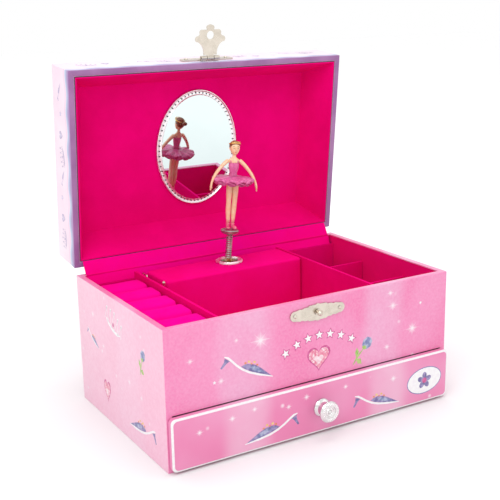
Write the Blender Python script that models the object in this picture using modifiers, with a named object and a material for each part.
"""Ballerina jewellery box: a paper-covered case with a lidded tray and a drawer.

The lid carries an oval mirror and a hasp. Under a cover at the back of the tray, a
spring-driven comb movement turns a dancer who stands on a coil spring. Units are metres.
The origin is the centre of the underside, the drawer faces -Y, and +Z is up. The lid stands
open at rest.
"""

from math import atan2, cos, hypot, pi, radians, sin

import bmesh
import bpy
from mathutils import Matrix, Vector

MM = 0.001
GAP = 0.3 * MM

# Case
BOX_W = 190 * MM
BOX_D = 120 * MM
BOX_H = 80 * MM
WALL = 3.4 * MM
BASE_T = 2.4 * MM
DRAWER_TOP = 31.7 * MM
SHELF_T = 2.6 * MM
TRAY_Z = DRAWER_TOP + 0.8 * MM + SHELF_T

# Tray
PARTITION_TOP = 78.8 * MM
PARTITION_T = 1.6 * MM
LEFT_PARTITION_X = -59.5 * MM
RIGHT_PARTITION_X = 44.5 * MM
REAR_LINING_Y = 52.2 * MM
REAR_LINING_TOP = 74 * MM
DIVIDER_TOP = 69 * MM
DIVIDER_Y = (-24.5 * MM, 19 * MM)
ROLL_COUNT = 5
ROLL_FIRST_Y = -42.5 * MM
ROLL_PITCH = 19.3 * MM
ROLL_T = 17.8 * MM
ROLL_TOP = 78.4 * MM

# Music cover
COVER_X = (-53.3 * MM, 43.4 * MM)
COVER_Y = (20 * MM, 47.5 * MM)
COVER_T = 2 * MM

# Lid, described as it lies when closed
LID_BOTTOM = BOX_H + GAP
LID_H = 26.7 * MM
LID_TOP_T = 2.8 * MM
LID_OPEN = 84.5
LINING_T = 1 * MM
LINING_DEPTH = 22.6 * MM
LINING_MOUTH = (91.3 * MM, 56.3 * MM)
LINING_BACK = (81.5 * MM, 47 * MM)

# Lid hinges
HINGE_Y = BOX_D / 2 + 3.2 * MM
HINGE_Z = BOX_H + 1 * MM
HINGE_X = 55 * MM
HINGE_W = 26 * MM
KNUCKLE_R = 2.4 * MM
LEAF_T = 0.8 * MM

# Mirror
MIRROR_Y = -1.5 * MM
MIRROR_R = (29.4 * MM, 38.2 * MM)
MIRROR_BAND = 4.4 * MM

# Clasp
HASP_Y = -BOX_D / 2 - 2.2 * MM
HASP_Z = LID_BOTTOM + 6 * MM
STUD_Z = 72.5 * MM
LOCK_W = 36.5 * MM

# Drawer
DRAWER_FRONT_T = 4 * MM
DRAWER_BOTTOM = 1.5 * MM
DRAWER_WALL = 2 * MM
DRAWER_H = 24 * MM
DRAWER_L = 112 * MM
DRAWER_FRONT_W = 188.4 * MM
DRAWER_CORNER_R = 3 * MM
DRAWER_SIDE_GAP = 1.2 * MM
SCREW_BORE_R = 1.9 * MM
KNOB_Z = 16.6 * MM

# Dancer
FIGURE_Y = 38.5 * MM
FOLD_Z = 88.5 * MM
SPRING_R = 2.1 * MM
DISC_Z = 96.6 * MM
DISC_R = 5.8 * MM
FEET_Z = 100.1 * MM
FIGURE_LEAN = 5.5
FIGURE_SCALE = 1.1 * MM

# Movement
BED_Y = 54.3 * MM
BED_T = 2 * MM
AXIS_Z = 54 * MM
CYLINDER_Y = 43.9 * MM
CYLINDER_R = 6 * MM
BARREL_X = 24 * MM
KEY_Y = 60.5 * MM
GREAT_WHEEL_R = 16 * MM
PINION_R = 4 * MM
PINION_X = 10 * MM
CROWN_PINION_X = 2.8 * MM
GOVERNOR_X = -28 * MM
GOVERNOR_Y = 37.1 * MM

parts = bpy.data.collections.new("ballerina_jewellery_box")
cutters = bpy.data.collections.new("cutters")


def clear_scene():
    for obj in list(bpy.data.objects):
        bpy.data.objects.remove(obj, do_unlink=True)
    bpy.context.scene.collection.children.link(parts)
    bpy.context.scene.collection.children.link(cutters)
    cutters.hide_render = True


def material(name, color, roughness=0.5, metallic=0.0):
    made = bpy.data.materials.new(name)
    made.use_nodes = True
    shader = made.node_tree.nodes["Principled BSDF"]
    shader.inputs["Base Color"].default_value = (*color, 1)
    shader.inputs["Roughness"].default_value = roughness
    shader.inputs["Metallic"].default_value = metallic
    made.diffuse_color = (*color, 1)
    return made


def link(obj, mat=None):
    """Puts a part in the object's collection, or a cutter, which has no material, in the other."""
    if mat is None:
        cutters.objects.link(obj)
        obj.hide_render = True
        obj.display_type = "WIRE"
    else:
        parts.objects.link(obj)
        obj.data.materials.clear()
        obj.data.materials.append(mat)
    return obj


def mesh_object(name, mesh_data, mat, smooth=False):
    obj = bpy.data.objects.new(name, mesh_data)
    if smooth:
        mesh_data.shade_smooth()
        mesh_data.set_sharp_from_angle(angle=radians(35))
    return link(obj, mat)


def finish_bmesh(bm, name):
    bmesh.ops.recalc_face_normals(bm, faces=bm.faces)
    data = bpy.data.meshes.new(name)
    bm.to_mesh(data)
    bm.free()
    return data


def box(name, low, high, mat=None, bevel=0.0):
    """A box between two corners, with its edges rounded if a bevel is given."""
    low = Vector(low)
    high = Vector(high)
    bm = bmesh.new()
    bmesh.ops.create_cube(bm, size=1)
    bmesh.ops.scale(bm, verts=bm.verts, vec=high - low)
    obj = mesh_object(name, finish_bmesh(bm, name), mat)
    obj.location = (low + high) / 2
    if bevel:
        rounding = obj.modifiers.new("rounding", "BEVEL")
        rounding.width = bevel
        rounding.segments = 2
    return obj


def rod(name, start, end, radius, mat=None, sides=16):
    """A cylinder between two points."""
    start = Vector(start)
    end = Vector(end)
    along = end - start
    bm = bmesh.new()
    bmesh.ops.create_cone(
        bm,
        cap_ends=True,
        segments=sides,
        radius1=radius,
        radius2=radius,
        depth=along.length,
    )
    turn = along.to_track_quat("Z", "Y").to_matrix().to_4x4()
    bmesh.ops.transform(bm, matrix=turn, verts=bm.verts)
    obj = mesh_object(name, finish_bmesh(bm, name), mat, smooth=True)
    obj.location = (start + end) / 2
    return obj


def ball(name, center, radii, mat=None, sides=12):
    bm = bmesh.new()
    bmesh.ops.create_uvsphere(bm, u_segments=sides, v_segments=sides // 2 + 1, radius=1)
    bmesh.ops.scale(bm, verts=bm.verts, vec=radii)
    obj = mesh_object(name, finish_bmesh(bm, name), mat, smooth=True)
    obj.location = center
    return obj


def turned(name, profile, mat=None, steps=24, location=(0, 0, 0), axis=(0, 0, 1)):
    """A turned shape: (radius, height) points from the top down its outer side, spun round an axis."""
    data = bpy.data.meshes.new(name)
    points = [(radius, 0, height) for radius, height in profile]
    edges = [(i, i + 1) for i in range(len(points) - 1)]
    if profile[0][0] > 0 or profile[-1][0] > 0:
        edges.append((len(points) - 1, 0))
    data.from_pydata(points, edges, [])
    obj = bpy.data.objects.new(name, data)
    link(obj, mat)
    spin = obj.modifiers.new("turning", "SCREW")
    spin.steps = steps
    spin.render_steps = steps
    spin.use_merge_vertices = True
    spin.merge_threshold = 0.00001
    obj.rotation_mode = "QUATERNION"
    obj.rotation_quaternion = Vector(axis).to_track_quat("Z", "Y")
    obj.location = location
    return obj


def plate(name, outline, thickness, mat=None, matrix=None, holes=()):
    """A flat plate cut to an outline in its own XY plane, centred on it, and made a mesh."""
    curve = bpy.data.curves.new(name, "CURVE")
    curve.dimensions = "2D"
    curve.fill_mode = "BOTH"
    curve.extrude = thickness / 2
    for ring in (outline, *holes):
        spline = curve.splines.new("POLY")
        spline.points.add(len(ring) - 1)
        spline.use_cyclic_u = True
        for point, (x, y) in zip(spline.points, ring):
            point.co = (x, y, 0, 1)
    return curve_to_mesh(name, curve, mat, matrix)


def wire(name, points, radius, mat=None, radii=None, resolution=2):
    """A round wire or limb through the points; radii scales the radius at each one."""
    curve = bpy.data.curves.new(name, "CURVE")
    curve.dimensions = "3D"
    curve.bevel_depth = radius
    curve.bevel_resolution = resolution
    curve.use_fill_caps = True
    spline = curve.splines.new("POLY")
    spline.points.add(len(points) - 1)
    for index, point in enumerate(points):
        spline.points[index].co = (*point, 1)
        spline.points[index].radius = radii[index] if radii else 1
    return curve_to_mesh(name, curve, mat)


def curve_to_mesh(name, curve, mat, matrix=None):
    helper = bpy.data.objects.new(name + "_curve", curve)
    bpy.context.scene.collection.objects.link(helper)
    graph = bpy.context.evaluated_depsgraph_get()
    data = bpy.data.meshes.new_from_object(helper.evaluated_get(graph))
    bpy.data.objects.remove(helper, do_unlink=True)
    bm = bmesh.new()
    bm.from_mesh(data)
    bmesh.ops.remove_doubles(bm, verts=bm.verts, dist=0.000002)
    obj = mesh_object(name, finish_bmesh(bm, name), mat, smooth=True)
    if matrix is not None:
        obj.matrix_world = matrix
    return obj


def combine(obj, others, operation="DIFFERENCE"):
    for other in others:
        if operation == "UNION":
            other.hide_render = True
        step = obj.modifiers.new(other.name, "BOOLEAN")
        step.operation = operation
        step.object = other
        step.solver = "EXACT"
    return obj


def facing(x, y, z, toward):
    """A matrix that stands a plate at a point, with its own +Z toward -Y or +Y and its +Y up."""
    turn = Matrix.Rotation(toward * pi / 2, 4, "X")
    if toward < 0:
        turn = Matrix.Rotation(pi, 4, "Z") @ Matrix.Rotation(pi / 2, 4, "X")
    return Matrix.Translation((x, y, z)) @ turn


def pivot(name, location, parent=None):
    empty = bpy.data.objects.new(name, None)
    empty.empty_display_size = 0.01
    parts.objects.link(empty)
    empty.location = location
    attach([empty], parent)
    bpy.context.view_layer.update()
    return empty


def attach(objects, parent):
    """Parents the objects, and the shapes that cut them, without moving them."""
    if parent is None:
        return
    bpy.context.view_layer.update()
    for obj in objects:
        cutting = [step.object for step in obj.modifiers if step.type == "BOOLEAN"]
        for child in (obj, *cutting):
            child.parent = parent
            child.matrix_parent_inverse = parent.matrix_world.inverted()


def arc(cx, cy, radius, start, end, steps):
    """Points on an arc, with angles in degrees."""
    turn = [radians(start + (end - start) * i / steps) for i in range(steps + 1)]
    return [(cx + radius * cos(a), cy + radius * sin(a)) for a in turn]


def circle(cx, cy, radius, steps=16):
    return arc(cx, cy, radius, 0, 360 - 360 / steps, steps - 1)


def ellipse(cx, cy, rx, ry, steps):
    return [(cx + rx * cos(2 * pi * i / steps), cy + ry * sin(2 * pi * i / steps)) for i in range(steps)]


def mirrored(points):
    """The points, then the same points mirrored in X, back to the start."""
    return points + [(-x, y) for x, y in reversed(points) if abs(x) > 1e-7]


def gear_outline(teeth, tip, root):
    """Straight-flanked teeth: narrow at the tip and wide at the root."""
    outline = []
    step = 2 * pi / teeth
    for tooth in range(teeth):
        for radius, share in ((root, -0.3), (tip, -0.13), (tip, 0.13), (root, 0.3)):
            a = (tooth + share) * step
            outline.append((radius * cos(a), radius * sin(a)))
    return outline


# --- Case -----------------------------------------------------------------


def build_case(paper, board):
    half_w = BOX_W / 2
    half_d = BOX_D / 2
    inner_w = half_w - WALL - GAP
    inner_d = half_d - WALL
    box("base_board", (-inner_w, -half_d, 0), (inner_w, inner_d - GAP, BASE_T), board)
    box("left_wall", (-half_w, -half_d, 0), (-half_w + WALL, half_d, BOX_H), paper, 0.4 * MM)
    box("right_wall", (half_w - WALL, -half_d, 0), (half_w, half_d, BOX_H), paper, 0.4 * MM)
    front_z = DRAWER_TOP + 0.4 * MM
    box("front_panel", (-inner_w, -half_d, front_z), (inner_w, -inner_d, BOX_H), paper)
    back = box("back_wall", (-inner_w, inner_d, 0), (inner_w, half_d, BOX_H), paper)
    holes = [rod("key_hole", (BARREL_X, 50 * MM, AXIS_Z), (BARREL_X, 65 * MM, AXIS_Z), 2.2 * MM)]
    for index, (x, z) in enumerate(screw_places()):
        holes.append(rod(f"screw_hole_{index}", (x, 50 * MM, z), (x, 65 * MM, z), 1.8 * MM, sides=12))
    combine(back, holes)
    shelf_low = (-inner_w, -inner_d + GAP, TRAY_Z - SHELF_T)
    box("mid_shelf", shelf_low, (inner_w, inner_d - GAP, TRAY_Z), board)


def screw_places():
    """Where the movement's screws pass through the back wall."""
    return ((-36 * MM, 41 * MM), (34 * MM, 67 * MM))


# --- Tray -----------------------------------------------------------------


def build_tray(lining, velvet):
    inner_w = BOX_W / 2 - WALL - GAP
    front_y = -BOX_D / 2 + WALL + GAP
    rear_y = REAR_LINING_Y - GAP
    floor = TRAY_Z + GAP
    for name, x in (("left_partition", LEFT_PARTITION_X), ("right_partition", RIGHT_PARTITION_X)):
        low = (x - PARTITION_T / 2, front_y, floor)
        box(name, low, (x + PARTITION_T / 2, rear_y, PARTITION_TOP), lining)
    divider_x = RIGHT_PARTITION_X + PARTITION_T / 2 + GAP
    for name, y in zip(("divider_front", "divider_rear"), DIVIDER_Y):
        box(name, (divider_x, y - 0.7 * MM, floor), (inner_w, y + 0.7 * MM, DIVIDER_TOP), lining)
    low = (-inner_w, REAR_LINING_Y, floor)
    rear = box("rear_lining", low, (inner_w, REAR_LINING_Y + 1.2 * MM, REAR_LINING_TOP), lining)
    low = (-42 * MM, REAR_LINING_Y - 2 * MM, 30 * MM)
    window = box("movement_window", low, (42 * MM, REAR_LINING_Y + 3 * MM, 72 * MM))
    combine(rear, [window])
    for index in range(ROLL_COUNT):
        build_roll(index, -inner_w, LEFT_PARTITION_X - PARTITION_T / 2, velvet)


def build_roll(index, left, right, velvet):
    """A stuffed velvet roll lying across the left compartment, flat below and round on top."""
    radius = ROLL_T / 2
    outline = arc(0, ROLL_TOP - radius, radius, 0, 180, 8)
    low = TRAY_Z + GAP
    outline += [(-radius, low), (radius, low)]
    margin = 1.2 * MM
    length = right - left - 2 * margin
    y = ROLL_FIRST_Y + index * ROLL_PITCH
    turn = Matrix.Rotation(pi / 2, 4, "Z") @ Matrix.Rotation(pi / 2, 4, "X")
    matrix = Matrix.Translation(((left + right) / 2, y, 0)) @ turn
    plate(f"ring_roll_{index + 1}", outline, length, velvet, matrix)


def build_cover(velvet, nickel):
    """The cover over the movement: a top, a front and a left side, open at the back."""
    floor = TRAY_Z + GAP
    low = (COVER_X[0], COVER_Y[0], floor)
    cover = box("music_cover", low, (COVER_X[1], COVER_Y[1], PARTITION_TOP), velvet)
    low = (COVER_X[0] + COVER_T, COVER_Y[0] + COVER_T, floor - 5 * MM)
    high = (COVER_X[1] + 5 * MM, COVER_Y[1] + 5 * MM, PARTITION_TOP - COVER_T)
    hollow = box("cover_hollow", low, high)
    top = (0, FIGURE_Y, PARTITION_TOP + 5 * MM)
    opening = rod("grommet_hole", (0, FIGURE_Y, 70 * MM), top, 6.6 * MM, sides=24)
    side_hole = (COVER_X[0] - 2 * MM, 35 * MM, 60 * MM)
    lever_hole = rod("lever_hole", side_hole, (COVER_X[0] + 5 * MM, 35 * MM, 60 * MM), 1.4 * MM)
    combine(cover, [hollow, opening, lever_hole])
    z = PARTITION_TOP
    profile = [
        (6.9 * MM, z + 1.5 * MM),
        (7.9 * MM, z + 1.5 * MM),
        (8.7 * MM, z + 0.9 * MM),
        (8.8 * MM, z + 0.2 * MM),
        (6.3 * MM, z + 0.2 * MM),
        (6.3 * MM, z - 2.6 * MM),
        (5.7 * MM, z - 2.6 * MM),
        (5.7 * MM, z + 0.7 * MM),
    ]
    turned("spring_grommet", profile, nickel, 28, (0, FIGURE_Y, 0))


# --- Lid ------------------------------------------------------------------


def build_lid(paper, lining, hinge_pivot):
    half_w = BOX_W / 2
    half_d = BOX_D / 2
    top = LID_BOTTOM + LID_H
    shell = box("lid_shell", (-half_w, -half_d, LID_BOTTOM), (half_w, half_d, top), paper)
    low = (-half_w + WALL, -half_d + WALL, LID_BOTTOM - 5 * MM)
    hollow = box("lid_hollow", low, (half_w - WALL, half_d - WALL, top - LID_TOP_T))
    combine(shell, [hollow])
    liner = build_lid_lining(lining)
    attach([shell, liner], hinge_pivot)


def tapered_block(name, mouth, back, low, high, mat=None):
    """A block that narrows upward, from the mouth's half sizes to the back's."""
    bm = bmesh.new()
    bmesh.ops.create_cube(bm, size=2)
    for vert in bm.verts:
        size = mouth if vert.co.z < 0 else back
        vert.co = (vert.co.x * size[0], vert.co.y * size[1], low if vert.co.z < 0 else high)
    return mesh_object(name, finish_bmesh(bm, name), mat)


def build_lid_lining(lining):
    """A shallow tray of lined card with sloping sides, its mouth level with the lid's rim."""
    z_back = LID_BOTTOM + LINING_DEPTH
    liner = tapered_block("lid_lining", LINING_MOUTH, LINING_BACK, LID_BOTTOM, z_back + LINING_T, lining)
    slope = (LINING_MOUTH[0] - LINING_BACK[0]) / LINING_DEPTH
    extra = 2 * MM
    mouth = [size - LINING_T + extra * slope for size in LINING_MOUTH]
    back = [size - LINING_T for size in LINING_BACK]
    hollow = tapered_block("lining_hollow", mouth, back, LID_BOTTOM - extra, z_back)
    return combine(liner, [hollow])


def build_mirror(silver, glass, hinge_pivot):
    """An oval mirror plate, and the pressed metal frame that holds it to the lining."""
    back_z = LID_BOTTOM + LINING_DEPTH - GAP
    place = Matrix.Translation((0, MIRROR_Y, back_z - 1.25 * MM))
    outer = ellipse(0, 0, *MIRROR_R, 48)
    inner = ellipse(0, 0, MIRROR_R[0] - MIRROR_BAND, MIRROR_R[1] - MIRROR_BAND, 48)
    frame = plate("mirror_frame", outer, 2.5 * MM, silver, place, [inner])
    seat_r = [radius - MIRROR_BAND + 1.2 * MM for radius in MIRROR_R]
    seat_place = Matrix.Translation((0, MIRROR_Y, back_z))
    seat = plate("mirror_seat", ellipse(0, 0, *seat_r, 48), 3.4 * MM, None, seat_place)
    combine(frame, [seat])
    glass_r = [radius - GAP for radius in seat_r]
    glass_place = Matrix.Translation((0, MIRROR_Y, back_z - 0.7 * MM))
    pane = plate("mirror_glass", ellipse(0, 0, *glass_r, 48), 1.2 * MM, glass, glass_place)
    attach([frame, pane], hinge_pivot)


# --- Lid hinges -----------------------------------------------------------


def leaf_plate(name, x, side, mat):
    """A hinge leaf with its knuckles. side is -1 for the case's leaf and +1 for the lid's."""
    face_y = BOX_D / 2 + GAP
    inner = 1.9 * MM
    outer = 13 * MM
    z_low, z_high = sorted((HINGE_Z + side * inner, HINGE_Z + side * outer))
    half = HINGE_W / 2
    leaf = box(name, (x - half, face_y, z_low), (x + half, face_y + LEAF_T, z_high), mat)
    third = HINGE_W / 3
    spans = [(-half, -third / 2 - GAP / 2), (third / 2 + GAP / 2, half)]
    if side > 0:
        spans = [(-third / 2 + GAP / 2, third / 2 - GAP / 2)]
    joined = []
    for index, (start, end) in enumerate(spans):
        knuckle_start = (x + start, HINGE_Y, HINGE_Z)
        knuckle_end = (x + end, HINGE_Y, HINGE_Z)
        joined.append(rod(f"{name}_knuckle_{index}", knuckle_start, knuckle_end, KNUCKLE_R, sides=12))
        tongue_low, tongue_high = sorted((HINGE_Z + side * 0.3 * MM, HINGE_Z + side * 2.5 * MM))
        low = (x + start + 0.15 * MM, face_y + 0.05 * MM, tongue_low)
        high = (x + end - 0.15 * MM, face_y + LEAF_T + 0.1 * MM, tongue_high)
        joined.append(box(f"{name}_tongue_{index}", low, high))
    combine(leaf, joined, "UNION")
    bore_start = (x - HINGE_W, HINGE_Y, HINGE_Z)
    bore = rod(f"{name}_bore", bore_start, (x + HINGE_W, HINGE_Y, HINGE_Z), 1.3 * MM, sides=12)
    return combine(leaf, [bore])


def nail(name, x, z, mat):
    """A dome-headed nail that holds a leaf of LEAF_T to the case's or the lid's front."""
    seat = LEAF_T + 0.2 * MM
    profile = [
        (0, seat + 0.6 * MM),
        (0.7 * MM, seat + 0.5 * MM),
        (1.25 * MM, seat),
        (0.55 * MM, seat),
        (0.55 * MM, 0.1 * MM),
        (0, 0.1 * MM),
    ]
    return turned(name, profile, mat, 8, (x, -BOX_D / 2 - GAP, z), (0, -1, 0))


def build_hinges(steel, hinge_pivot):
    lid_leaves = []
    for name, x in (("left", -HINGE_X), ("right", HINGE_X)):
        leaf_plate(f"hinge_{name}_case_leaf", x, -1, steel)
        lid_leaves.append(leaf_plate(f"hinge_{name}_lid_leaf", x, 1, steel))
        half = HINGE_W / 2 + 0.5 * MM
        start = (x - half, HINGE_Y, HINGE_Z)
        rod(f"hinge_{name}_pin", start, (x + half, HINGE_Y, HINGE_Z), 0.95 * MM, steel, 12)
    attach(lid_leaves, hinge_pivot)


# --- Clasp ----------------------------------------------------------------


def lock_outline():
    """A long plate with round ends, a waist beside each end, and a raised middle, above and below."""
    half_w = LOCK_W / 2
    end_r = 2.9 * MM
    right = arc(half_w - end_r, 0, end_r, 0, 100, 6)
    right += arc(half_w - 7.6 * MM, 5.4 * MM, 2.2 * MM, -60, -130, 4)
    right += arc(5.2 * MM, 3.1 * MM, 1.4 * MM, 30, 100, 3)
    right += arc(0, 2.5 * MM, 2.5 * MM, 55, 90, 3)
    upper = right + [(-x, y) for x, y in reversed(right[:-1])]
    return upper + [(-x, -y) for x, y in upper[1:-1]]


def hasp_outline():
    """The leaf: a narrow neck below, then scalloped lobes that rise to a point. The pivot is at 0, 0."""
    right = [(4.6 * MM, 0.6 * MM), (4.6 * MM, 3.4 * MM)]
    right += arc(12 * MM, 3.2 * MM, 7.4 * MM, 178, 118, 4)
    right += arc(8.5 * MM, 11.4 * MM, 2 * MM, -50, 100, 5)
    right += arc(5.6 * MM, 15.4 * MM, 1.9 * MM, -30, 110, 5)
    right += [(2.3 * MM, 17.2 * MM)]
    right += arc(1.2 * MM, 18.4 * MM, 1.5 * MM, -30, 70, 4)
    right += [(0, 20.4 * MM)]
    return mirrored(right)


def build_clasp(nickel, hinge_pivot):
    face_y = -BOX_D / 2 - GAP
    plate_y = face_y - LEAF_T / 2
    ends = LOCK_W / 2 - 3.2 * MM
    holes = [circle(x, 0, 0.9 * MM, 8) for x in (-ends, ends)]
    holes.append(circle(0, 0, 1.2 * MM, 12))
    plate("lock_plate", lock_outline(), LEAF_T, nickel, facing(0, plate_y, STUD_Z, 1), holes)
    nail("lock_nail_left", -ends, STUD_Z, nickel)
    nail("lock_nail_right", ends, STUD_Z, nickel)
    stud = [
        (0, 4.4 * MM),
        (0.8 * MM, 4.3 * MM),
        (1.6 * MM, 3.5 * MM),
        (1.7 * MM, 2.7 * MM),
        (1.0 * MM, 2.3 * MM),
        (1.0 * MM, 1.3 * MM),
        (1.9 * MM, 1.1 * MM),
        (0.85 * MM, 1.05 * MM),
        (0.85 * MM, 0.1 * MM),
        (0, 0.1 * MM),
    ]
    turned("lock_stud", stud, nickel, 16, (0, face_y, STUD_Z), (0, -1, 0))

    base_w = 18 * MM
    outline = [(-base_w, 2.6 * MM), (-base_w + 2 * MM, 1.9 * MM), (base_w - 2 * MM, 1.9 * MM)]
    outline += [(base_w, 2.6 * MM)]
    outline += arc(base_w - 3 * MM, 5.6 * MM, 3 * MM, 0, 100, 5)
    outline += arc(0, 4.6 * MM, 4.6 * MM, 40, 140, 6)
    outline += arc(-base_w + 3 * MM, 5.6 * MM, 3 * MM, 80, 180, 5)
    nail_x = 14 * MM
    nail_holes = [circle(x, 5.4 * MM, 0.9 * MM, 8) for x in (-nail_x, nail_x)]
    base = plate("hasp_plate", outline, LEAF_T, nickel, facing(0, plate_y, HASP_Z, 1), nail_holes)
    joined = []
    for index, side in enumerate((-1, 1)):
        start = (side * 2.6 * MM, HASP_Y, HASP_Z)
        end = (side * 6.4 * MM, HASP_Y, HASP_Z)
        joined.append(rod(f"hasp_knuckle_{index}", start, end, 1.35 * MM, sides=12))
        near, far = sorted((start[0], end[0]))
        low = (near + 0.15 * MM, face_y - LEAF_T - 0.1 * MM, HASP_Z)
        high = (far - 0.15 * MM, face_y - 0.05 * MM, HASP_Z + 2.5 * MM)
        joined.append(box(f"hasp_tongue_{index}", low, high))
    combine(base, joined, "UNION")
    bore_end = (10 * MM, HASP_Y, HASP_Z)
    combine(base, [rod("hasp_bore", (-10 * MM, HASP_Y, HASP_Z), bore_end, 0.85 * MM, sides=12)])
    nail_z = HASP_Z + 5.4 * MM
    nails = [nail("hasp_nail_left", -nail_x, nail_z, nickel), nail("hasp_nail_right", nail_x, nail_z, nickel)]
    pin_end = (6.7 * MM, HASP_Y, HASP_Z)
    pin = rod("hasp_pin", (-6.7 * MM, HASP_Y, HASP_Z), pin_end, 0.5 * MM, nickel, 10)
    attach([base, *nails, pin], hinge_pivot)
    build_hasp_leaf(nickel, hinge_pivot)


def build_hasp_leaf(nickel, hinge_pivot):
    """Made hanging over the stud, then lifted to stand straight out from the lid's front."""
    hasp_pivot = pivot("hasp_pivot", (0, HASP_Y, HASP_Z))
    down = Matrix.Translation((0, HASP_Y, HASP_Z)) @ Matrix.Rotation(-pi / 2, 4, "X")
    hole = circle(0, HASP_Z - STUD_Z, 2.6 * MM, 16)
    leaf = plate("hasp_leaf", hasp_outline(), LEAF_T, nickel, down, [hole])
    barrel = rod("leaf_barrel", (-2.3 * MM, HASP_Y, HASP_Z), (2.3 * MM, HASP_Y, HASP_Z), 1.35 * MM, sides=12)
    relief = []
    for index, side in enumerate((-1, 1)):
        low, high = sorted((side * 2.3 * MM, side * 8 * MM))
        corner = (low, HASP_Y - 2 * MM, HASP_Z - 1.75 * MM)
        relief.append(box(f"leaf_relief_{index}", corner, (high, HASP_Y + 2 * MM, HASP_Z + 2 * MM)))
    combine(leaf, relief)
    combine(leaf, [barrel], "UNION")
    bore_end = (9 * MM, HASP_Y, HASP_Z)
    combine(leaf, [rod("leaf_bore", (-9 * MM, HASP_Y, HASP_Z), bore_end, 0.85 * MM, sides=12)])
    attach([leaf], hasp_pivot)
    hasp_pivot.rotation_euler = (-pi / 2, 0, 0)
    bpy.context.view_layer.update()
    attach([hasp_pivot], hinge_pivot)


# --- Hinge cloth ----------------------------------------------------------


def build_cloth(cloth):
    """The lining cloth that spans from the open lid's lower edge to the back of the tray."""
    section = [
        (61.6 * MM, 87.6 * MM),
        (55.9 * MM, 79.4 * MM),
        (54.7 * MM, 76.0 * MM),
        (54.3 * MM, 73.9 * MM),
        (53.9 * MM, 73.9 * MM),
        (54.3 * MM, 76.2 * MM),
        (55.5 * MM, 79.6 * MM),
        (61.2 * MM, 87.8 * MM),
    ]
    turn = Matrix.Rotation(pi / 2, 4, "Z") @ Matrix.Rotation(pi / 2, 4, "X")
    plate("hinge_cloth", section, 2 * 90 * MM, cloth, turn)


# --- Drawer ---------------------------------------------------------------


def build_drawer(paper, board, chrome):
    front_y = -BOX_D / 2 - GAP
    r = DRAWER_CORNER_R
    half_w = DRAWER_FRONT_W / 2
    half_h = (DRAWER_TOP - DRAWER_BOTTOM) / 2
    outline = arc(half_w - r, half_h - r, r, 0, 90, 4) + arc(-half_w + r, half_h - r, r, 90, 180, 4)
    outline += arc(-half_w + r, -half_h + r, r, 180, 270, 4) + arc(half_w - r, -half_h + r, r, 270, 360, 4)
    middle = DRAWER_BOTTOM + half_h
    place = facing(0, front_y - DRAWER_FRONT_T / 2, middle, 1)
    hole = circle(0, KNOB_Z - middle, SCREW_BORE_R, 12)
    plate("drawer_front", outline, DRAWER_FRONT_T, paper, place, [hole])
    wide = BOX_W / 2 - WALL - DRAWER_SIDE_GAP
    low = (-wide, front_y + GAP, BASE_T + 0.6 * MM)
    tray = box("drawer_tray", low, (wide, front_y + GAP + DRAWER_L, low[2] + DRAWER_H), board)
    inner_low = (-wide + DRAWER_WALL, low[1] + DRAWER_WALL, low[2] + DRAWER_WALL)
    inner_high = (wide - DRAWER_WALL, low[1] + DRAWER_L - DRAWER_WALL, BOX_H)
    hollow = box("drawer_hollow", inner_low, inner_high)
    bore_start = (0, low[1] - DRAWER_WALL, KNOB_Z)
    bore = rod("drawer_screw_hole", bore_start, (0, low[1] + 2 * DRAWER_WALL, KNOB_Z), SCREW_BORE_R, sides=12)
    combine(tray, [hollow, bore])
    build_knob(chrome, front_y - DRAWER_FRONT_T, low[1] + DRAWER_WALL)


def build_knob(chrome, face_y, inside_y):
    """A turned pull with a ringed cap, and the screw that holds it from inside the drawer."""
    g = GAP
    knob = [
        (0, 10.0 * MM),
        (2.0 * MM, 10.0 * MM),
        (2.4 * MM, 9.6 * MM),
        (4.3 * MM, 9.6 * MM),
        (4.7 * MM, 9.9 * MM),
        (5.7 * MM, 9.6 * MM),
        (6.4 * MM, 8.8 * MM),
        (6.4 * MM, 7.6 * MM),
        (5.2 * MM, 6.6 * MM),
        (3.3 * MM, 5.4 * MM),
        (2.9 * MM, 3.9 * MM),
        (3.6 * MM, 2.8 * MM),
        (5.0 * MM, 2.0 * MM),
        (5.2 * MM, g),
        (1.6 * MM, g),
        (1.6 * MM, 6 * MM),
        (0, 6 * MM),
    ]
    turned("drawer_knob", knob, chrome, 20, (0, face_y, KNOB_Z), (0, -1, 0))
    reach = inside_y - face_y
    screw = [
        (0, reach + 2.0 * MM),
        (2.2 * MM, reach + 1.6 * MM),
        (3.2 * MM, reach + g),
        (1.25 * MM, reach + g),
        (1.25 * MM, -5.4 * MM),
        (0, -5.4 * MM),
    ]
    turned("knob_screw", screw, chrome, 16, (0, face_y, KNOB_Z), (0, 1, 0))


# --- Movement -------------------------------------------------------------


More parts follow.
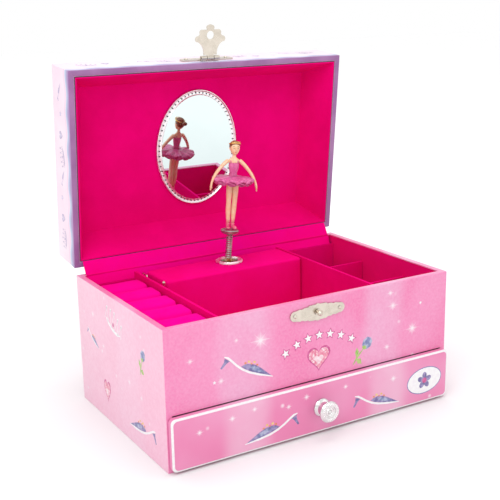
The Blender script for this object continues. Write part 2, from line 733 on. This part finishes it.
def build_bedplate(steel):
    """The bedplate stands against the back wall and carries the cylinder's two bearings."""
    low = (-40 * MM, BED_Y, 37 * MM)
    bed = box("movement_bedplate", low, (38 * MM, BED_Y + BED_T, 71 * MM), steel)
    joined = []
    for index, x in enumerate((-32.6 * MM, 11.8 * MM)):
        start = (x, 41 * MM, 50.5 * MM)
        joined.append(box(f"bearing_{index}", start, (x + 1.8 * MM, BED_Y + 1 * MM, 57.5 * MM)))
    low = (-26 * MM, CYLINDER_Y + 1 * MM, 38.5 * MM)
    joined.append(box("comb_block", low, (-8 * MM, BED_Y + 1 * MM, 43.2 * MM)))
    low = (-9 * MM, FIGURE_Y - 5 * MM, 64 * MM)
    joined.append(box("spindle_bridge", low, (9 * MM, BED_Y + 1 * MM, 65.6 * MM)))
    combine(bed, joined, "UNION")
    start = (-45 * MM, CYLINDER_Y, AXIS_Z)
    holes = [rod("arbor_bore", start, (20 * MM, CYLINDER_Y, AXIS_Z), 1.3 * MM, sides=12)]
    bore_top = (0, FIGURE_Y, 70 * MM)
    holes.append(rod("spindle_bore", (0, FIGURE_Y, 60 * MM), bore_top, 1.7 * MM, sides=12))
    start = (BARREL_X, 50 * MM, AXIS_Z)
    holes.append(rod("key_bore", start, (BARREL_X, 60 * MM, AXIS_Z), 2 * MM, sides=16))
    for index, (x, z) in enumerate(screw_places()):
        holes.append(rod(f"bed_hole_{index}", (x, 50 * MM, z), (x, 60 * MM, z), 1.7 * MM, sides=12))
    combine(bed, holes)


def build_screws(steel):
    """The screws that hold the movement through the back wall."""
    face_y = BOX_D / 2 + GAP
    profile = [
        (0, 1.6 * MM),
        (1.8 * MM, 1.3 * MM),
        (2.9 * MM, 0.1 * MM),
        (1.3 * MM, 0.1 * MM),
        (1.3 * MM, -7 * MM),
        (0, -7 * MM),
    ]
    for index, (x, z) in enumerate(screw_places()):
        turned(f"movement_screw_{index + 1}", profile, steel, 12, (x, face_y, z), (0, 1, 0))


def build_comb(steel):
    """A steel comb whose tuned teeth point up at the cylinder."""
    left = -25 * MM
    pitch = 0.9 * MM
    teeth = 18
    slot = 0.3 * MM
    low = -9 * MM
    outline = [(left, low), (left + teeth * pitch, low)]
    for index in reversed(range(teeth)):
        start = left + index * pitch + slot / 2
        end = left + (index + 1) * pitch - slot / 2
        outline += [(end, -4.5 * MM), (end, 0), (start, 0), (start, -4.5 * MM)]
    tips = AXIS_Z - CYLINDER_R - 0.9 * MM
    matrix = facing(0, CYLINDER_Y + 0.2 * MM, tips, 1)
    plate("comb", outline, 0.9 * MM, steel, matrix)


def build_cylinder(brass):
    """The pinned cylinder with its arbor and three wheels: to the great wheel, dancer and governor."""
    center = Matrix.Translation((0, CYLINDER_Y, AXIS_Z)) @ Matrix.Rotation(pi / 2, 4, "Y")
    left = -26 * MM
    right = -8 * MM
    drum = rod("cylinder", (left, CYLINDER_Y, AXIS_Z), (right, CYLINDER_Y, AXIS_Z), CYLINDER_R, brass, 24)
    start = (-32.9 * MM, CYLINDER_Y, AXIS_Z)
    joined = [rod("cylinder_arbor", start, (13.9 * MM, CYLINDER_Y, AXIS_Z), 1 * MM, sides=12)]
    wheels = (
        ("great_pinion", PINION_X, 12, PINION_R),
        ("crown_pinion", CROWN_PINION_X, 12, PINION_R),
        ("governor_wheel", GOVERNOR_X, 16, 5 * MM),
    )
    for name, x, teeth, radius in wheels:
        place = Matrix.Translation((x, 0, 0)) @ center
        outline = gear_outline(teeth, radius, radius - 1.1 * MM)
        joined.append(plate(name, outline, 1.8 * MM, None, place))
    for index in range(12):
        x = left + 0.9 * MM + 1.35 * MM * index
        turn = radians(137.5 * index)
        out = Vector((0, cos(turn), sin(turn)))
        axis = Vector((x, CYLINDER_Y, AXIS_Z))
        tip = axis + out * (CYLINDER_R + 0.5 * MM)
        joined.append(rod(f"pin_{index}", axis + out * (CYLINDER_R - 1 * MM), tip, 0.25 * MM, sides=6))
    combine(drum, joined, "UNION")


def build_barrel(steel, brass):
    """The spring housing, the coiled mainspring in it, and the great wheel in front."""
    housing = [
        (8.6 * MM, 12.6 * MM),
        (9.6 * MM, 12.6 * MM),
        (9.6 * MM, 0),
        (2.1 * MM, 0),
        (2.1 * MM, 1 * MM),
        (8.6 * MM, 1 * MM),
    ]
    location = (BARREL_X, 41.2 * MM, AXIS_Z)
    turned("spring_housing", housing, steel, 28, location, (0, 1, 0))
    turns = 4
    steps = 18
    inside = []
    outside = []
    for index in range(turns * steps + 1):
        a = 2 * pi * index / steps
        radius = 3 * MM + 4.6 * MM * index / (turns * steps)
        inside.append((radius * cos(a), radius * sin(a)))
        outside.append(((radius + 0.5 * MM) * cos(a), (radius + 0.5 * MM) * sin(a)))
    matrix = facing(BARREL_X, 48 * MM, AXIS_Z, 1)
    plate("mainspring", inside + outside[::-1], 8 * MM, steel, matrix)
    place = facing(BARREL_X, 38.2 * MM, AXIS_Z, 1)
    outline = gear_outline(30, GREAT_WHEEL_R, GREAT_WHEEL_R - 1.3 * MM)
    plate("great_wheel", outline, 2 * MM, brass, place, [circle(0, 0, 2.1 * MM, 16)])


def build_key(brass):
    """The winding arbor, and the butterfly key on its outer end."""
    end = (BARREL_X, 62.6 * MM, AXIS_Z)
    rod("winding_arbor", (BARREL_X, 36.4 * MM, AXIS_Z), end, 1.6 * MM, brass, 16)
    hub = [
        (0, 9 * MM),
        (1.8 * MM, 8.6 * MM),
        (2.6 * MM, 7.6 * MM),
        (2.9 * MM, 0.4 * MM),
        (1.95 * MM, 0.4 * MM),
        (1.95 * MM, 3.1 * MM),
        (0, 3.1 * MM),
    ]
    location = (BARREL_X, KEY_Y, AXIS_Z)
    key = turned("winding_key", hub, brass, 20, location, (0, 1, 0))
    wings = []
    turn = Matrix.Translation(location)
    for index, side in enumerate((-1, 1)):
        outline = [(side * 1.5 * MM, 4.4 * MM)]
        outline += [(side * (7.4 * MM + dx), 7.4 * MM + dy) for dx, dy in arc(0, 0, 4.6 * MM, -100, 130, 9)]
        outline += [(side * 1.5 * MM, 8.4 * MM)]
        wings.append(plate(f"key_wing_{index}", outline, 1.4 * MM, None, turn))
    combine(key, wings, "UNION")


def build_governor(steel, plastic):
    """A worm with a two-bladed air brake, and the bracket that holds its two points."""
    axis = (GOVERNOR_X, GOVERNOR_Y)
    profile = [(0, 69.7 * MM), (0.6 * MM, 69.7 * MM), (0.6 * MM, 60 * MM)]
    for index in range(6):
        z = 58.5 * MM - index * 1.7 * MM
        profile += [(0.9 * MM, z), (1.4 * MM, z - 0.5 * MM), (0.9 * MM, z - 1 * MM)]
    profile += [(0.6 * MM, 48 * MM), (0.6 * MM, 44 * MM), (0, 44 * MM)]
    worm = turned("governor", profile, plastic, 12, (*axis, 0))
    low = (axis[0] - 5 * MM, axis[1] - 0.4 * MM, 61.5 * MM)
    fan = box("governor_fan", low, (axis[0] + 5 * MM, axis[1] + 0.4 * MM, 68.5 * MM))
    combine(worm, [fan], "UNION")
    low = (-39 * MM, GOVERNOR_Y + 1.3 * MM, 41 * MM)
    frame = box("governor_bracket", low, (-37.4 * MM, BED_Y - GAP, 71.6 * MM), steel)
    joined = []
    for index, z in enumerate((41.1 * MM, 70 * MM)):
        corner = (-38 * MM, GOVERNOR_Y - 3 * MM, z)
        joined.append(box(f"governor_tab_{index}", corner, (-25 * MM, GOVERNOR_Y + 3 * MM, z + 1.5 * MM)))
    combine(frame, joined, "UNION")


def build_spindle(brass):
    """The upright spindle that turns the dancer's spring, with its crown wheel below."""
    top = AXIS_Z + PINION_R + GAP + 1.7 * MM
    outline = gear_outline(24, 7.5 * MM, 6.4 * MM)
    place = Matrix.Translation((0, FIGURE_Y, top - 0.7 * MM))
    crown = plate("spindle", outline, 1.4 * MM, brass, place)
    rise = [
        (0, 80.3 * MM),
        (1.3 * MM, 80 * MM),
        (1.3 * MM, 77.6 * MM),
        (3.6 * MM, 77.2 * MM),
        (3.6 * MM, 75.2 * MM),
        (1.3 * MM, 74.8 * MM),
        (1.3 * MM, top - 1 * MM),
        (0, top - 1 * MM),
    ]
    shaft = turned("spindle_shaft", rise, None, 16, (0, FIGURE_Y, 0))
    combine(crown, [shaft], "UNION")


def build_stop_lever(steel):
    """A bent wire beside the cover: its tip shows in the tray, its shaft reaches the air brake."""
    x = -55.9 * MM
    points = [
        (x, 19 * MM, 79 * MM),
        (x, 19.4 * MM, 74 * MM),
        (x, 23 * MM, 68 * MM),
        (x, 33 * MM, 60.6 * MM),
        (x, 34.6 * MM, 60 * MM),
        (x + 1.2 * MM, 35 * MM, 60 * MM),
        (-47 * MM, 35 * MM, 60 * MM),
        (-45.6 * MM, 34.6 * MM, 60.8 * MM),
        (-43 * MM, 32.6 * MM, 65 * MM),
        (-41 * MM, 32.6 * MM, 66 * MM),
        (-32.3 * MM, 32.6 * MM, 66 * MM),
    ]
    lever = wire("stop_lever", points, 0.55 * MM, steel)
    tip = ball("stop_tip", points[0], (0.95 * MM, 0.95 * MM, 0.95 * MM), sides=10)
    rear = [
        (x, 33 * MM, 60.6 * MM),
        (x, 38 * MM, 66 * MM),
        (x, 43 * MM, 77.6 * MM),
        (x, 48.5 * MM, 77.8 * MM),
    ]
    arm = wire("stop_rear_arm", rear, 0.5 * MM)
    combine(lever, [tip, arm], "UNION")


# --- Dancer ---------------------------------------------------------------


def build_figure_spring(steel):
    """The coil spring between the spindle and the disc, closed at its pitch."""
    turns = 7
    steps = 8
    low = 81.2 * MM
    high = DISC_Z - 0.9 * MM
    points = []
    for index in range(turns * steps + 1):
        a = 2 * pi * index / steps
        z = low + (high - low) * index / (turns * steps)
        points.append(((SPRING_R - 0.4 * MM) * cos(a), FIGURE_Y + (SPRING_R - 0.4 * MM) * sin(a), z))
    spring = wire("figure_spring", points, 0.4 * MM, steel, resolution=1)
    fold = pivot("fold_pivot", (0, FIGURE_Y, FOLD_Z))
    attach([spring], fold)
    return fold


def limb(name, points, radii):
    return wire(name, points, 1 * MM, None, [radius / MM for radius in radii], 1)


def build_dancer(skin, dress, metal, fold):
    spin = pivot("spin_pivot", (0, FIGURE_Y, DISC_Z))
    profile = [
        (0, DISC_Z + 3.2 * MM),
        (DISC_R - 0.5 * MM, DISC_Z + 3.2 * MM),
        (DISC_R, DISC_Z + 2.7 * MM),
        (DISC_R - 0.4 * MM, DISC_Z + 1.2 * MM),
        (2.6 * MM, DISC_Z),
        (0, DISC_Z),
    ]
    disc = turned("figure_disc", profile, metal, 24, (0, FIGURE_Y, 0))
    body = build_body(skin)
    tutu = build_tutu(dress)
    attach([disc, body, tutu], spin)
    attach([spin], fold)


def build_body(skin):
    """Head, hair, torso, arms and legs in one moulding, facing -Y."""
    k = FIGURE_SCALE
    y = FIGURE_Y
    low = FEET_Z
    torso = [
        (0, low + 45.4 * k),
        (1.4 * k, low + 45.2 * k),
        (1.5 * k, low + 41 * k),
        (3.6 * k, low + 39.6 * k),
        (3.5 * k, low + 35.5 * k),
        (2.5 * k, low + 30.5 * k),
        (3.9 * k, low + 26 * k),
        (3.2 * k, low + 23.5 * k),
        (0, low + 23 * k),
    ]
    body = turned("ballerina_figure", torso, skin, 14, (0, y, 0))
    body.scale = (1, 0.78, 1)
    joined = [
        ball("head", (0, y - 0.4 * k, low + 47.6 * k), (3.1 * k, 3.5 * k, 4.2 * k)),
        ball("hair", (0, y + 0.5 * k, low + 48.6 * k), (3.5 * k, 3.6 * k, 4.0 * k)),
        ball("bun", (0, y + 4.2 * k, low + 50.4 * k), (1.9 * k, 1.8 * k, 1.9 * k), sides=10),
    ]
    for side in (-1, 1):
        name = "left" if side > 0 else "right"
        arm = [
            (side * 2.8 * k, y, low + 38.8 * k),
            (side * 7.6 * k, y - 0.4 * k, low + 34.6 * k),
            (side * 11.2 * k, y - 1.4 * k, low + 30.2 * k),
            (side * 13.2 * k, y - 2.2 * k, low + 27.4 * k),
        ]
        joined.append(limb(f"{name}_arm", arm, (1.15 * k, 0.95 * k, 0.8 * k, 0.75 * k)))
        hand = (side * 13.5 * k, y - 2.3 * k, low + 26.5 * k)
        joined.append(ball(f"{name}_hand", hand, (1.0 * k, 0.8 * k, 1.6 * k), sides=8))
        leg = [
            (side * 1.7 * k, y, low + 25 * k),
            (side * 1.4 * k, y - 0.1 * k, low + 13 * k),
            (side * 1.0 * k, y + 0.2 * k, low + 9.5 * k),
            (side * 0.8 * k, y - side * 0.4 * k, low + 2.6 * k),
        ]
        joined.append(limb(f"{name}_leg", leg, (2.1 * k, 1.55 * k, 1.55 * k, 1.0 * k)))
        foot = (side * 1.0 * k, y - side * 1.2 * k, low + 1.75 * k)
        joined.append(ball(f"{name}_shoe", foot, (1.5 * k, 2.4 * k, 1.45 * k), sides=10))
    return combine(body, joined, "UNION")


def build_tutu(dress):
    """A short net skirt: a ring round the hips with a wavy hem."""
    k = FIGURE_SCALE
    low = FEET_Z + 27.2 * k
    profile = [
        (4.6 * k, low + 2.6 * k),
        (8.4 * k, low + 2.4 * k),
        (11.6 * k, low + 1.1 * k),
        (11.6 * k, low - 0.3 * k),
        (8.2 * k, low + 0.1 * k),
        (4.4 * k, low + 0.4 * k),
    ]
    tutu = turned("tutu", profile, dress, 36, (0, FIGURE_Y, 0))
    graph = bpy.context.evaluated_depsgraph_get()
    data = bpy.data.meshes.new_from_object(tutu.evaluated_get(graph))
    tutu.modifiers.clear()
    tutu.data = data
    for vert in data.vertices:
        radius = hypot(vert.co.x, vert.co.y)
        wave = cos(9 * atan2(vert.co.y, vert.co.x))
        vert.co.z += 0.9 * k * wave * max(0, (radius - 6 * k) / (5.6 * k))
    return tutu


def build():
    clear_scene()
    paper = material("printed_paper", (0.85, 0.35, 0.58), 0.35)
    board = material("greyboard", (0.55, 0.5, 0.45), 0.8)
    lining = material("magenta_lining", (0.75, 0.0, 0.17), 0.7)
    velvet = material("magenta_velvet", (0.78, 0.01, 0.24), 0.9)
    cloth = material("hinge_cloth", (0.78, 0.0, 0.2), 0.8)
    nickel = material("nickel", (0.68, 0.63, 0.55), 0.3, 1)
    chrome = material("chrome", (0.8, 0.8, 0.8), 0.15, 1)
    steel = material("steel", (0.5, 0.5, 0.5), 0.35, 1)
    brass = material("brass", (0.7, 0.5, 0.2), 0.3, 1)
    plastic = material("white_plastic", (0.8, 0.8, 0.8), 0.4)
    glass = material("mirror_glass", (0.9, 0.9, 0.9), 0.02, 1)
    skin = material("figure_skin", (0.85, 0.5, 0.35), 0.4)
    dress = material("figure_dress", (0.35, 0.04, 0.2), 0.5)

    build_case(paper, board)
    build_tray(lining, velvet)
    build_cover(velvet, nickel)
    hinge_pivot = pivot("lid_pivot", (0, HINGE_Y, HINGE_Z))
    build_lid(paper, lining, hinge_pivot)
    build_mirror(chrome, glass, hinge_pivot)
    build_hinges(nickel, hinge_pivot)
    build_clasp(nickel, hinge_pivot)
    hinge_pivot.rotation_euler = (-radians(LID_OPEN), 0, 0)
    build_cloth(cloth)
    build_drawer(paper, board, chrome)
    build_bedplate(steel)
    build_screws(nickel)
    build_comb(steel)
    build_cylinder(brass)
    build_barrel(steel, brass)
    build_key(brass)
    build_governor(steel, plastic)
    build_spindle(brass)
    build_stop_lever(nickel)
    fold = build_figure_spring(steel)
    build_dancer(skin, dress, chrome, fold)
    fold.rotation_euler = (0, radians(FIGURE_LEAN), 0)


build()
